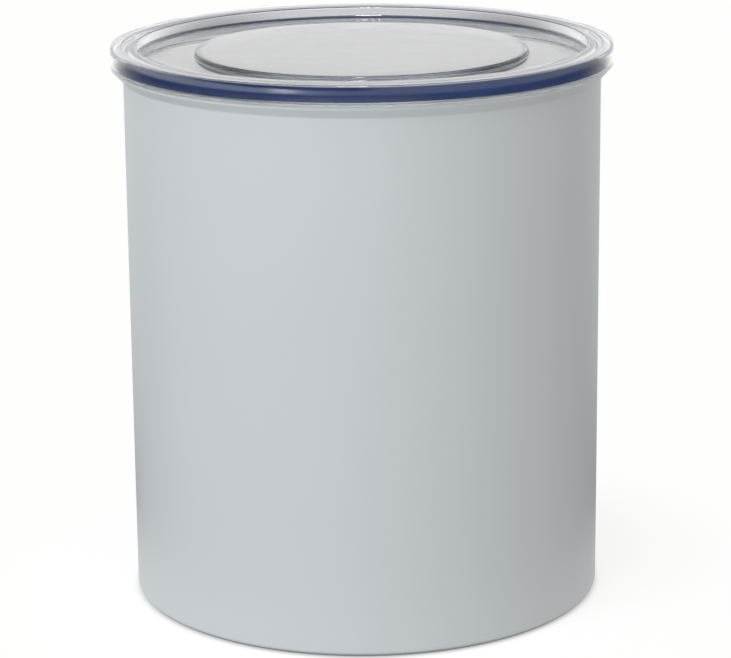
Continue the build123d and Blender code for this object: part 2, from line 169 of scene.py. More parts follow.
def mesh_piece(name, places, corners, totals, smooth_angle=35):
    """Puts whole arrays of points, face corners and face sizes into a new mesh object."""
    mesh = bpy.data.meshes.new(name)
    mesh.vertices.add(len(places))
    mesh.vertices.foreach_set("co", np.asarray(places, np.float32).ravel())
    mesh.loops.add(len(corners))
    mesh.loops.foreach_set("vertex_index", np.asarray(corners, np.int32))
    mesh.polygons.add(len(totals))
    starts = np.concatenate([[0], np.cumsum(totals)[:-1]])
    mesh.polygons.foreach_set("loop_start", np.asarray(starts, np.int32))
    mesh.update(calc_edges=True)
    mesh.validate()
    mesh.shade_smooth()
    mesh.set_sharp_from_angle(angle=math.radians(smooth_angle))
    piece = bpy.data.objects.new(name, mesh)
    bpy.context.scene.collection.objects.link(piece)
    print(f"{name}: {len(mesh.vertices)} points, {len(mesh.polygons)} faces")
    return piece


# %% [markdown]
# The can starts as a steel disc that is drawn down into a cup. Its mouth is then rolled outward into
# a lip, so no raw edge is left, and its base is pressed up a little so that it stands on a ring.
# The paint covers the outside and the lip, and stops inside the mouth, where the steel stays bare.

# %% The can
LIP_REACH = 3.1
LIP_HEIGHT = 2.05
FOOT_ROUND = 2.6
RING_WIDTH = 6.5
PANEL_SLOPE = 2.6
PANEL_RISE = 2.0
LONGEST_RUN = 12.0
LIP_RADIUS = CAN_RADIUS + LIP_REACH
LIP_FOOT = CROWN - LIP_HEIGHT
BASE_RING = CAN_RADIUS - FOOT_ROUND - RING_WIDTH
PANEL_EDGE = BASE_RING - PANEL_SLOPE

can_section = rounded([
    (0, PANEL_RISE, 0),
    (PANEL_EDGE, PANEL_RISE, 1.0),
    (BASE_RING, 0, 1.0),
    (CAN_RADIUS, 0, FOOT_ROUND),
    (CAN_RADIUS, LIP_FOOT - LIP_REACH, 1.2),
    (LIP_RADIUS, LIP_FOOT, 0.8),
    (LIP_RADIUS, CROWN, 1.6),
    (BORE, CROWN, 0.5),
    (BORE, SHEET, 2.0),
    (BASE_RING, SHEET, 1.0),
    (PANEL_EDGE, PANEL_RISE + SHEET, 1.0),
    (0, PANEL_RISE + SHEET, 0),
])
can = turned("can_body", refined(can_section, LONGEST_RUN))
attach(can, "canister")
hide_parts("canister_shell")

# %% [markdown]
# The outer lid is one injection moulding in clear plastic. Its rim is thick and hollow underneath,
# with a channel that holds the seal, and a thin skirt that hangs over the rolled lip. Light bends
# through all of these walls, so the section has to be the true one: the navy band, the pale ends
# of the band and the lines at the back all come from it, and none of them is painted on.

# %% The clear lid
PLUG = BORE - 2.7
RECESS = PLUG - 1.3
PLUG_INNER = RECESS - 0.7
CHANNEL = BORE + 1.6
SKIRT_INNER = LIP_RADIUS + 0.2
SKIRT_DRAFT = 0.2
LID_RADIUS = SKIRT_INNER + 1.35
DISC_RADIUS = 58.9
DISC_UNDER = DISC_RADIUS - 1.4
DISC_TOP = TOP - 2.3
ANNULUS_TOP = TOP - 4.2
LID_WALL = 2.0
PLUG_DROP = 11.0
SLOPE_FOOT = 4.4
CHANNEL_FLAT = 0.4
CHANNEL_DROP = 1.1
SHOULDER_DROP = 6.1
SKIRT_DROP = 7.2
LEAN_DROP = 3.4
LEAN_SWEEP = 18.0
LEAN = 0.5
LID_RUN = 15.0

lid_section = rounded([
    (0, DISC_TOP - LID_WALL, 0),
    (DISC_UNDER, DISC_TOP - LID_WALL, 0.6),
    (DISC_UNDER, ANNULUS_TOP - LID_WALL, 0.3),
    (PLUG_INNER, ANNULUS_TOP - LID_WALL, 0.6),
    (PLUG_INNER, TOP - PLUG_DROP, 0.5),
    (PLUG, TOP - PLUG_DROP, 0.5),
    (PLUG, TOP - SLOPE_FOOT, 0.3),
    (CHANNEL - CHANNEL_FLAT, TOP - CHANNEL_DROP, 0.15),
    (CHANNEL, TOP - CHANNEL_DROP, 0.15),
    (CHANNEL, TOP - SHOULDER_DROP, 0.3),
    (SKIRT_INNER, TOP - SHOULDER_DROP, 0.4),
    (SKIRT_INNER, TOP - SKIRT_DROP, 0.3),
    (LID_RADIUS - SKIRT_DRAFT, TOP - SKIRT_DROP, 0.3),
    (LID_RADIUS, TOP - LEAN_DROP, LEAN_SWEEP),
    (LID_RADIUS - LEAN, TOP, 0.4),
    (RECESS, TOP, 0.4),
    (RECESS, ANNULUS_TOP, 1.2),
    (DISC_RADIUS, ANNULUS_TOP, 0.6),
    (DISC_RADIUS, DISC_TOP, 0.6),
    (0, DISC_TOP, 0),
])
lid = turned("clear_lid", refined(lid_section, LID_RUN))
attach(lid, "outer_lid")
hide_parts("lid_shell")

# %% [markdown]
# The seal is a silicone ring pushed up into the rim's channel. Its foot bears on the rolled lip of
# the can, and a lip with two soft ridges reaches down inside the mouth.

# %% The seal
SEAL_FIT = 0.05
SLOPE_FIT = 0.03
SEAL_FLAT = 0.38
SEAL_DROP = 10.4
WIPE_GAP = 0.3
RIDGE_REACH = 0.7
RIDGE_START = 1.2
RIDGE_PITCH = 1.9
RIDGE_HALF = 0.6
seal_in = PLUG + SEAL_FIT
seal_out = CHANNEL - SEAL_FIT
seal_top = TOP - CHANNEL_DROP - SEAL_FIT
seal_wipe = BORE - WIPE_GAP
seal_root = seal_wipe - RIDGE_REACH
seal_bearing = CROWN + WIPE_GAP
seal_corners = [
    (seal_root, seal_bearing, 0.2),
    (seal_out, seal_bearing, 0.25),
    (seal_out, seal_top, 0.15),
    (CHANNEL - SEAL_FLAT, seal_top, 0.15),
    (seal_in, TOP - SLOPE_FOOT - SLOPE_FIT, 0.2),
    (seal_in, TOP - SEAL_DROP, 0.3),
    (seal_root, TOP - SEAL_DROP, 0.4),
]
for ridge in (1, 0):
    crest = seal_bearing - RIDGE_START - ridge * RIDGE_PITCH
    seal_corners.append((seal_root, crest - RIDGE_HALF, 0.1))
    seal_corners.append((seal_wipe, crest, 0.3))
    seal_corners.append((seal_root, crest + RIDGE_HALF, 0.1))
seal = turned("rim_seal", rounded(seal_corners))
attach(seal, "outer_lid")
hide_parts("lid_seal")

# %% [markdown]
# Under the outer lid, and hidden in the photograph, an inner lid slides down the can on a silicone
# wiper. A glass-filled nylon ring snaps over its wall and holds the wiper. Both are turned sections
# again. The ring's crown has small finger scallops. Each is a raised cosine, cubed so that the dip is
# narrow and the land beside it wide, and it only lowers the points on the crown's inner edge.

# %% The clamp ring
clamp_low, clamp_high = (np.array(corner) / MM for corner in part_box("clamp_ring"))
LID_WALL_OUT = BORE - 3.8
LID_WALL_IN = LID_WALL_OUT - 2.2
SNUG = LID_WALL_OUT + 0.05
CLAMP_RADIUS = clamp_high[0]
CLAMP_SKIRT = clamp_low[2]
CLAMP_HEAD = clamp_high[2]
CLAMP_SHELF = CLAMP_HEAD - 1.6
SCALLOPS = 60
SCALLOP_DEPTH = 0.35
SCALLOP_WIDTH = 1.6
SCALLOP_ZONE = 0.5
SCALLOP_POWER = 3

clamp_section = rounded([
    (LID_WALL_IN, CLAMP_SHELF, 0.15),
    (SNUG, CLAMP_SHELF, 0.1),
    (SNUG, CLAMP_SKIRT, 0.2),
    (CLAMP_RADIUS, CLAMP_SKIRT, 0.25),
    (CLAMP_RADIUS, CLAMP_HEAD, 0.8),
    (LID_WALL_IN, CLAMP_HEAD, 0.7),
])
clamp = turned("clamp_collar", clamp_section, segments=2 * SEGMENTS)
clamp_points = np.empty(len(clamp.data.vertices) * 3, np.float32)
clamp.data.vertices.foreach_get("co", clamp_points)
clamp_points = clamp_points.reshape(-1, 3)
turn = np.arctan2(clamp_points[:, 1], clamp_points[:, 0])
inner_edge = clamp_points[:, 2] > (CLAMP_HEAD - SCALLOP_ZONE) * MM
inner_edge &= np.hypot(clamp_points[:, 0], clamp_points[:, 1]) < (LID_WALL_IN + SCALLOP_WIDTH) * MM
dip = (0.5 - 0.5 * np.cos(SCALLOPS * turn)) ** SCALLOP_POWER
clamp_points[:, 2] -= inner_edge * SCALLOP_DEPTH * MM * dip
clamp.data.vertices.foreach_set("co", clamp_points.ravel())
clamp.data.update()
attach(clamp, "inner_lid")
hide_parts("clamp_ring")

# %% [markdown]
# The wiper is moulded in clear silicone. It hugs the inner lid's wall, and its two thin lips lean out,
# one up and one down, so that they drag along the bore when the lid is pushed down or pulled up.

# %% The wiper
wiper_low, wiper_high = (np.array(corner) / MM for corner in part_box("wiper_gasket"))
WIPER_LEAN = 0.9
WIPER_TIP = wiper_high[0]
WIPER_FOOT = wiper_low[2] + WIPER_LEAN
WIPER_HEAD = wiper_high[2] - WIPER_LEAN
WIPER_BAND = LID_WALL_OUT + 1.45
TIP_ROOT = WIPER_TIP - 1.1
TIP_EDGE = WIPER_TIP - 0.3
TIP_FACE = 0.6
LIP_SPREAD = 2.3
wiper = turned("wiper_lips", rounded([
    (SNUG, WIPER_FOOT, 0.2),
    (TIP_ROOT, WIPER_FOOT, 0.3),
    (TIP_EDGE, WIPER_FOOT - WIPER_LEAN, 0.08),
    (WIPER_TIP, WIPER_FOOT - TIP_FACE, 0.08),
    (WIPER_BAND, WIPER_FOOT + LIP_SPREAD, 0.8),
    (WIPER_BAND, WIPER_HEAD - LIP_SPREAD, 0.8),
    (WIPER_TIP, WIPER_HEAD + TIP_FACE, 0.08),
    (TIP_EDGE, WIPER_HEAD + WIPER_LEAN, 0.08),
    (TIP_ROOT, WIPER_HEAD, 0.3),
    (SNUG, WIPER_HEAD, 0.2),
]))
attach(wiper, "inner_lid")
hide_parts("wiper_gasket")

# %% [markdown]
# A wide plastic floor warps as it cools unless something stiffens it, so moulded lids carry thin
# raised rings. Here two low beads run round the inner lid's floor.

# %% Stiffening beads on the inner lid's floor
INNER_WALL_RISE = 8.0
FLOOR_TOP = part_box("plunger_plate")[1][2] / MM - INNER_WALL_RISE
BEAD_RADII = (36.0, 62.0)
BEAD_HEIGHT = 0.6
BEAD_SUNK = 0.2
BEAD_HALF = 0.9
BEAD_HALF_TOP = BEAD_HALF * 0.6
beads = []
for bead_radius in BEAD_RADII:
    bead = turned(f"floor_bead_{bead_radius:.0f}", rounded([
        (bead_radius - BEAD_HALF, FLOOR_TOP - BEAD_SUNK, 0.0),
        (bead_radius + BEAD_HALF, FLOOR_TOP - BEAD_SUNK, 0.0),
        (bead_radius + BEAD_HALF_TOP, FLOOR_TOP + BEAD_HEIGHT, 0.4),
        (bead_radius - BEAD_HALF_TOP, FLOOR_TOP + BEAD_HEIGHT, 0.4),
    ]))
    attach(bead, "inner_lid")
    beads.append(bead)

# %% [markdown]
# The handle and the spring are both a section carried along a path. That gives a grid again: each
# row is one section, and the rows follow the path. A pole at either end closes the tube.

# %% Close a grid of sections into a tube


def closed_tube(name, grid, ends):
    """Mesh of sections in millimetres, one to a row, with a pole at each of the two ends.

    Each section runs so that its own direction crossed with the path's direction points outwards.
    """
    rows, around = grid.shape[:2]
    places = np.concatenate([grid.reshape(-1, 3), ends]) * MM
    ring, step = np.meshgrid(np.arange(rows - 1), np.arange(around), indexing="ij")
    beside = (step + 1) % around
    quads = np.stack([ring * around + step, ring * around + beside, (ring + 1) * around + beside,
                      (ring + 1) * around + step], axis=-1)
    step = np.arange(around)
    beside = (step + 1) % around
    last = (rows - 1) * around
    pole = np.full(around, len(places) - 2)
    fans = np.concatenate([np.stack([pole, beside, step], axis=-1),
                           np.stack([pole + 1, last + step, last + beside], axis=-1)])
    totals = np.concatenate([np.full(quads.size // 4, 4), np.full(len(fans), 3)])
    return mesh_piece(name, places, np.concatenate([quads.ravel(), fans.ravel()]), totals)


# %% [markdown]
# The folding handle is one nylon moulding: a bow with two straight arms, and an eye at the foot of
# each arm for the shaft. Its section is a soft oval that is kind to the fingers, and shallow
# grooves across the bow give grip. The bow is a profile carried along a path: each cross-section
# stands square to the path, and the grooves only change how thick it is there.

# %% The folding handle
bail_low, bail_high = (np.array(corner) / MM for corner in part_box("handle_bail"))
BAIL_WIDTH = 6.0
BAIL_OUT = bail_high[0]
BAIL_MIDDLE = BAIL_OUT - BAIL_WIDTH / 2
BOW_CENTRE = bail_high[1] - BAIL_OUT
AXIS_HEIGHT = (bail_low[2] + bail_high[2]) / 2
EYE_RADIUS = (bail_high[2] - bail_low[2]) / 2
EYE_BORE = 2.55
EYE_EDGE = 0.9
BORE_EDGE = 0.3
OVAL_POWER = 3.2
GROOVE_COUNT = 7
GROOVE_TURN = math.radians(11)
GROOVE_DEPTH = 0.5
GROOVE_HALF = 0.9
NO_GROOVE = 9.0
ARM_STEPS = 20
BOW_STEPS = 240


def handle_bow(name, around=48):
    """A bow carried along its path, with its section a superellipse.

    The path runs up one arm, round a half circle and down the other arm. At a turn u of the section
    a point lies w |cos u|^(2/p) outward from the path and h |sin u|^(2/p) above it, each with the
    sign of its own cosine or sine. In a groove, h is less by a bell curve of the groove's depth. The
    arms count as a turn too far from the bow's top for any groove.
    """
    arm = np.linspace(0, BOW_CENTRE, ARM_STEPS, endpoint=False)
    bow = np.linspace(np.pi, 0, BOW_STEPS + 1)
    left = np.column_stack([np.full(len(arm), -BAIL_MIDDLE), arm])
    middle = np.column_stack([BAIL_MIDDLE * np.cos(bow), BOW_CENTRE + BAIL_MIDDLE * np.sin(bow)])
    path = np.concatenate([left, middle, left[::-1] * (-1, 1)])
    out_left = np.column_stack([-np.ones(len(arm)), np.zeros(len(arm))])
    outward = np.concatenate([out_left, np.column_stack([np.cos(bow), np.sin(bow)]), -out_left])
    plain = np.full(len(arm), NO_GROOVE)
    off_top = np.concatenate([plain, bow - np.pi / 2, plain])
    grooves = (np.arange(GROOVE_COUNT) - (GROOVE_COUNT - 1) / 2) * GROOVE_TURN
    away = (off_top[:, None] - grooves) * BAIL_MIDDLE / GROOVE_HALF
    half_height = BAIL_WIDTH / 2 - GROOVE_DEPTH * np.exp(-2 * away ** 2).sum(axis=1)
    turns = np.arange(around) * 2 * np.pi / around
    across = np.sign(np.cos(turns)) * np.abs(np.cos(turns)) ** (2 / OVAL_POWER) * BAIL_WIDTH / 2
    rise = np.sign(np.sin(turns)) * np.abs(np.sin(turns)) ** (2 / OVAL_POWER)
    grid = np.empty((len(path), around, 3))
    grid[..., :2] = path[:, None, :] + outward[:, None, :] * across[None, :, None]
    grid[..., 2] = AXIS_HEIGHT + half_height[:, None] * rise
    return closed_tube(name, grid, [[-BAIL_MIDDLE, 0, AXIS_HEIGHT], [BAIL_MIDDLE, 0, AXIS_HEIGHT]])


def ring_on_shaft(name, middle, half_width, radius, bore, edge, around=96):
    """A ring turned about the shaft's axis: a section point (r, x) goes to (x, r cos t, axis + r sin t)."""
    section = rounded([(bore, -half_width, BORE_EDGE), (radius, -half_width, edge),
                       (radius, half_width, edge), (bore, half_width, BORE_EDGE)])
    turns = np.arange(around) * 2 * np.pi / around
    grid = np.empty((len(section), around, 3))
    grid[..., 0] = middle + section[:, 1][:, None]
    grid[..., 1] = section[:, 0][:, None] * np.cos(turns)
    grid[..., 2] = AXIS_HEIGHT + section[:, 0][:, None] * np.sin(turns)
    ring, step = np.meshgrid(np.arange(len(section)), np.arange(around), indexing="ij")
    above = (ring + 1) % len(section)
    beside = (step + 1) % around
    quads = np.stack([ring * around + step, above * around + step, above * around + beside,
                      ring * around + beside], axis=-1)
    return mesh_piece(name, grid.reshape(-1, 3) * MM, quads.ravel(), np.full(quads.size // 4, 4))


handle_pieces = [handle_bow("handle_bow")]
for hand, middle in (("left", -BAIL_MIDDLE), ("right", BAIL_MIDDLE)):
    handle_pieces.append(ring_on_shaft(f"handle_eye_{hand}", middle, BAIL_WIDTH / 2, EYE_RADIUS, EYE_BORE,
                                       EYE_EDGE))
for piece in handle_pieces:
    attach(piece, "handle")
    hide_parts("handle_bail")

# %% [markdown]
# Under the housing's roof a small spring presses the valve shut. It is a round wire wound on a
# helix, and it gets shorter when the upright handle lifts the valve.

# %% The valve spring
spring_low, spring_high = (np.array(corner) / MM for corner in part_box("valve_spring"))
WIRE = 0.8
COIL_RADIUS = 4.4
COIL_TURNS = 4


def coil_spring(name, around=16, steps=96):
    """Round wire wound on a helix.

    At a turn t the path is at (R cos t, R sin t, foot + rise t). The wire's circle stands square to
    the path, spanned by the direction away from the axis and the one square to that and the path.
    """
    turn = np.linspace(0, COIL_TURNS * 2 * np.pi, COIL_TURNS * steps + 1)
    foot = spring_low[2] + WIRE / 2
    rise = (spring_high[2] - WIRE / 2 - foot) / turn[-1]
    path = np.column_stack([COIL_RADIUS * np.cos(turn), COIL_RADIUS * np.sin(turn), foot + rise * turn])
    outward = np.column_stack([np.cos(turn), np.sin(turn), np.zeros_like(turn)])
    along = np.column_stack([-COIL_RADIUS * np.sin(turn), COIL_RADIUS * np.cos(turn),
                             np.full_like(turn, rise)])
    along /= np.linalg.norm(along, axis=1)[:, None]
    square = np.cross(along, outward)
    wire = np.arange(around) * 2 * np.pi / around
    grid = path[:, None, :] + WIRE / 2 * (np.cos(wire)[None, :, None] * outward[:, None, :]
                                          + np.sin(wire)[None, :, None] * square[:, None, :])
    return closed_tube(name, grid, path[[0, -1]])


spring = coil_spring("coil_spring")
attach(spring, "inner_lid")
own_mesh(spring)
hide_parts("valve_spring")

# %% [markdown]
# A colour picked from a screen or a paint card is an sRGB value, and Blender's shaders work with
# linear light, so one function turns a hex colour into the numbers that a shader needs. Another
# small one adds a node to a material, sets its values and joins its inputs, so that each finish
# below reads as a short list of what it is made of.

# %% Colour and node helpers


def linear(code, alpha=1.0):
    """Linear RGBA of an sRGB hex colour: below 0.04045 it is s / 12.92, else ((s + 0.055) / 1.055) ^ 2.4."""
    parts = np.array([int(code[place:place + 2], 16) for place in (1, 3, 5)]) / 255
    light = np.where(parts <= 0.04045, parts / 12.92, ((parts + 0.055) / 1.055) ** 2.4)
    return (*light.tolist(), alpha)


def add(tree, kind, settings=None, **inputs):
    """Adds a node, sets its own settings, and fills its inputs with values or other nodes' outputs."""
    node = tree.nodes.new(kind)
    for key, value in (settings or {}).items():
        setattr(node, key, value)
    for key, value in inputs.items():
        socket = node.inputs[int(key[1:])] if key[0] == "_" else node.inputs[key.replace("_", " ")]
        if isinstance(value, bpy.types.NodeSocket):
            tree.links.new(value, socket)
        else:
            socket.default_value = value
    return node


def new_material(name):
    """An empty material with its output node."""
    print("material:", name)
    material = bpy.data.materials.new(name)
    material.use_nodes = True
    material.node_tree.nodes.clear()
    tree = material.node_tree
    return material, tree, tree.nodes.new("ShaderNodeOutputMaterial")


# %% [markdown]
# Powder coat is dry paint that is sprayed on and melted in an oven. It flows just enough to leave a
# very fine orange peel, about half a millimetre from crest to crest and a few microns deep, over a
# satin-matt skin. So the colour is almost even, the highlight is broad, and only a close look shows
# the texture. Along the foot the colour is painted darker: a thin line of painted shade that stands
# for the shadow where the can meets the floor.

# %% Powder-coated steel
PEEL_MM = 0.6
PEEL_DEPTH_MM = 0.02
CLOUD_MM = 60.0
# Height span in millimetres over which the painted shade at the foot fades out.
PAINTED_FOOT_SHADE_MM = (0.5, 1.8)


def powder_coat(name, colour, shade, painted_shade):
    """Matt powder coat: faint clouds in the colour, a fine orange peel in the bump, and painted shade at the
    foot.
    """
    material, tree, out = new_material(name)
    place = add(tree, "ShaderNodeTexCoord").outputs["Object"]
    cloud = add(tree, "ShaderNodeTexNoise", Vector=place, Scale=1 / (CLOUD_MM * MM), Detail=2.0)
    tint = add(tree, "ShaderNodeMix", {"data_type": "RGBA"}, _0=cloud.outputs["Fac"],
               _6=linear(colour), _7=linear(shade))
    # Painted shade: low on the can the colour turns to a dark grey that stands for the shadow at the foot.
    height = add(tree, "ShaderNodeSeparateXYZ", Vector=place).outputs[2]
    above_painted_shade = add(tree, "ShaderNodeMapRange", {"interpolation_type": "SMOOTHSTEP"}, Value=height,
                From_Min=PAINTED_FOOT_SHADE_MM[0] * MM, From_Max=PAINTED_FOOT_SHADE_MM[1] * MM)
    tint = add(tree, "ShaderNodeMix", {"data_type": "RGBA"}, _0=above_painted_shade.outputs[0], _6=linear(painted_shade),
               _7=tint.outputs[2])
    peel = add(tree, "ShaderNodeTexNoise", Vector=place, Scale=1 / (PEEL_MM * MM), Detail=2.0)
    bump = add(tree, "ShaderNodeBump", Strength=0.25, Distance=PEEL_DEPTH_MM * MM,
               Height=peel.outputs["Fac"])
    skin = add(tree, "ShaderNodeBsdfPrincipled", Base_Color=tint.outputs[2], Roughness=0.45,
               IOR=1.5, Normal=bump.outputs["Normal"])
    tree.links.new(skin.outputs[0], out.inputs[0])
    return material


# The last colour is the painted shade along the foot.
paint = powder_coat("powder_coated_steel_grey", "#C8CDCF", "#C5CACC", "#7A7E80")

# %% [markdown]
# Inside, the steel is bare and brushed round and round while the can spins, so its scratches are
# rings. A noise that is stretched far round the can and squeezed along its height gives them. Real
# ones are finer than a picture shows, so the widest is drawn 1.4 mm wide and the rest within it.

# %% Brushed stainless steel
SCRATCH_MM = 1.4
SCRATCH_DEPTH_MM = 0.04
SCRATCH_ROUND = 1.5


def ring_coordinates(tree, round_scale, height_scale):
    """Coordinates (distance from the axis, height, turn) scaled so that noise runs in rings."""
    place = add(tree, "ShaderNodeTexCoord").outputs["Object"]
    split = add(tree, "ShaderNodeSeparateXYZ", Vector=place)
    turn = add(tree, "ShaderNodeMath", {"operation": "ARCTAN2"}, _0=split.outputs[1], _1=split.outputs[0])
    reach = add(tree, "ShaderNodeVectorMath", {"operation": "MULTIPLY"}, _0=place, _1=(1, 1, 0))
    reach = add(tree, "ShaderNodeVectorMath", {"operation": "LENGTH"}, _0=reach.outputs[0])
    rings = add(tree, "ShaderNodeCombineXYZ", X=reach.outputs["Value"], Y=split.outputs[2], Z=turn.outputs[0])
    scaled = add(tree, "ShaderNodeVectorMath", {"operation": "MULTIPLY"}, _0=rings.outputs[0],
                 _1=(height_scale, height_scale, round_scale))
    return scaled.outputs[0]


def brushed_steel(name, colour, roughness):
    """Stainless steel brushed in rings: streaks in roughness, a shallow bump and a stretched highlight."""
    material, tree, out = new_material(name)
    rings = ring_coordinates(tree, SCRATCH_ROUND, 1 / (SCRATCH_MM * MM))
    streaks = add(tree, "ShaderNodeTexNoise", Vector=rings, Scale=1.0, Detail=4.0, Roughness=0.7)
    rough = add(tree, "ShaderNodeMapRange", Value=streaks.outputs["Fac"], From_Min=0.3, From_Max=0.7,
                To_Min=roughness - 0.1, To_Max=roughness + 0.1)
    bump = add(tree, "ShaderNodeBump", Strength=0.5, Distance=SCRATCH_DEPTH_MM * MM,
               Height=streaks.outputs["Fac"])
    round_axis = add(tree, "ShaderNodeTangent", {"direction_type": "RADIAL", "axis": "Z"})
    metal = add(tree, "ShaderNodeBsdfPrincipled", Base_Color=linear(colour), Metallic=1.0, Anisotropic=0.7,
                Roughness=rough.outputs[0], Normal=bump.outputs["Normal"], Tangent=round_axis.outputs[0])
    tree.links.new(metal.outputs[0], out.inputs[0])
    return material


inside_steel = brushed_steel("brushed_stainless_steel", "#D6D6D6", 0.33)

# %% [markdown]
# The clear lid is a glassy plastic such as SAN. It bends light a little more than window glass, its
# mould was polished, and its walls carry faint waves from the way the plastic flowed. It looks
# colourless through its 2 mm walls, but the light that comes out at an edge has travelled through
# the whole disc, and over that distance a faint blue-grey tint adds up to a dark line.

# %% Clear moulded plastic
FLOW_MM = 18.0
FLOW_DEPTH_MM = 0.08
DEPTH_DENSITY = 5.0


def clear_plastic(name, colour, depth_colour):
    """Clear plastic: full transmission, nearly polished, with long flow waves and a faint tint in depth."""
    material, tree, out = new_material(name)
    place = add(tree, "ShaderNodeTexCoord").outputs["Object"]
    flow = add(tree, "ShaderNodeTexNoise", Vector=place, Scale=1 / (FLOW_MM * MM), Detail=1.0)
    bump = add(tree, "ShaderNodeBump", Strength=0.3, Distance=FLOW_DEPTH_MM * MM, Height=flow.outputs["Fac"])
    body = add(tree, "ShaderNodeBsdfPrincipled", Base_Color=linear(colour), Roughness=0.03, IOR=1.56,
               Transmission_Weight=1.0, Normal=bump.outputs["Normal"])
    tree.links.new(body.outputs[0], out.inputs[0])
    depth = add(tree, "ShaderNodeVolumeAbsorption", Color=linear(depth_colour), Density=DEPTH_DENSITY)
    tree.links.new(depth.outputs[0], out.inputs["Volume"])
    return material


clear = clear_plastic("clear_san_plastic", "#FBFCFC", "#5973AC")

# %% [markdown]
# Moulded silicone rubber takes its colour right through. It is smooth and a little greasy, with a
# soft highlight, and light sinks in slightly at thin lips. The inner lid's ABS is satin, because its
# mould was spark-eroded. The handle's glass-filled nylon is rougher, since glass fibres lie close under
# its skin, and acetal is slick. They differ only in colour, gloss, grain and how far light sinks in, so
# one function makes them all. The real grain is under a tenth of a millimetre wide, which is too fine
# to show, so it is drawn 0.8 mm wide.

# %% Silicone and moulded plastics
GRAIN_MM = 0.8
GRAIN_DEPTH_MM = 0.05


def moulded(name, colour, roughness, grain=0.2, subsurface=0.0, ior=1.5):
    """A moulded skin: even colour with a very fine spark-eroded grain in bump and roughness."""
    material, tree, out = new_material(name)
    place = add(tree, "ShaderNodeTexCoord").outputs["Object"]
    speckle = add(tree, "ShaderNodeTexNoise", Vector=place, Scale=1 / (GRAIN_MM * MM), Detail=3.0)
    rough = add(tree, "ShaderNodeMapRange", Value=speckle.outputs["Fac"], To_Min=roughness - 0.05,
                To_Max=roughness + 0.05)
    bump = add(tree, "ShaderNodeBump", Strength=grain, Distance=GRAIN_DEPTH_MM * MM,
               Height=speckle.outputs["Fac"])
    skin = add(tree, "ShaderNodeBsdfPrincipled", Base_Color=linear(colour), Roughness=rough.outputs[0],
               IOR=ior, Subsurface_Weight=subsurface, Subsurface_Scale=0.002, Normal=bump.outputs["Normal"])
    tree.links.new(skin.outputs[0], out.inputs[0])
    return material


navy = moulded("navy_silicone", "#223A6E", 0.38, ior=1.41)
grey_abs = moulded("grey_abs", "#B4B8BB", 0.42)
black_nylon = moulded("black_glass_filled_nylon", "#2A2B2E", 0.45, grain=0.35)
pale_silicone = moulded("pale_silicone", "#D5D8D9", 0.4, subsurface=0.3, ior=1.41)
white_silicone = moulded("white_silicone", "#E6E6E3", 0.4, subsurface=0.3, ior=1.41)
acetal = moulded("white_acetal", "#E9E8E3", 0.3, ior=1.48)
bright_steel = brushed_steel("bright_stainless_steel", "#D9D9D8", 0.25)

# %% [markdown]
# A piece may hold several finishes. Each face of the can takes the paint or the bare steel by where
# it lies: the bare part is every face that looks into the can, from just inside the mouth down.

# %% Give each piece its finish
MOUTH_MARGIN = 0.2
PAINT_DROP = 0.3
FACING = 0.5
can.data.materials.append(paint)
can.data.materials.append(inside_steel)
face_count = len(can.data.polygons)
centres = np.empty(face_count * 3)
normals = np.empty(face_count * 3)
can.data.polygons.foreach_get("center", centres)
can.data.polygons.foreach_get("normal", normals)
centres = centres.reshape(-1, 3)
normals = normals.reshape(-1, 3)
reach = np.hypot(centres[:, 0], centres[:, 1])
inward = -(normals[:, 0] * centres[:, 0] + normals[:, 1] * centres[:, 1]) / reach
bare = (inward > FACING) | (normals[:, 2] > FACING)
bare &= reach < (BORE + MOUTH_MARGIN) * MM
bare &= centres[:, 2] > SHEET / 2 * MM
bare &= centres[:, 2] < (CROWN - PAINT_DROP) * MM
can.data.polygons.foreach_set("material_index", bare.astype(np.int32))
print(f"bare steel faces: {int(bare.sum())} of {face_count}")
lid.data.materials.append(clear)
seal.data.materials.append(navy)
wiper.data.materials.append(pale_silicone)
spring.data.materials.append(bright_steel)
for piece in [clamp] + handle_pieces:
    piece.data.materials.append(black_nylon)
for bead in beads:
    bead.data.materials.append(grey_abs)

node_finish = {
    "plunger_plate": grey_abs,
    "valve_housing": grey_abs,
    "housing_screws": bright_steel,
    "vent_guard": black_nylon,
    "pivot_shaft": bright_steel,
    "valve_cam": acetal,
    "shaft_caps": black_nylon,
    "valve_stirrup": acetal,
    "valve_disc": white_silicone,
    "disc_retainer": bright_steel,
}
for node, finish in node_finish.items():
    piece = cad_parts[node]
    for place in range(len(piece.material_slots)):
        piece.material_slots[place].material = finish

# %% [markdown]
# The picture was taken in a studio that is plain white to the camera. A studio is never white all
# round, though, and the glossy rim shows it. The rim mirrors the lens's side of the room: a dark floor,
# over it the pale strip of the table's far end and the wall, and on the left the glare of the window.
# That is why the navy seal looks deep below and soft above. Each border in that room is soft, so one
# function makes a smooth change of level over a span. A direction is three numbers, how far it goes
# across, ahead and up in one unit of length, and each span below is a stretch of one of them.

# %% The room that the gloss mirrors
WALL_LEFT = 2.0
WALL_RIGHT = 0.95
WALL_TURN = (-0.45, -0.1)
WALL_TOP = (0.04, 0.09)
WINDOW_ACROSS = -0.57
WINDOW_HALF = 0.16
WINDOW_GLARE = 5.0
WINDOW_FOOT = (-0.1, 0.04)
LENS_DARK = 0.04
TABLE_END = (-0.11, -0.02)
DARK_AIR_END = (-0.05, 0.2)
BACK_WHITE = 1.1
BACK_ABOVE = (-0.3, 0.55)
BACK_BELOW = (0.3, 0.95)
HORIZON = (-0.06, 0.08)
CEILING = 0.68
CEILING_START = (0.35, 0.8)


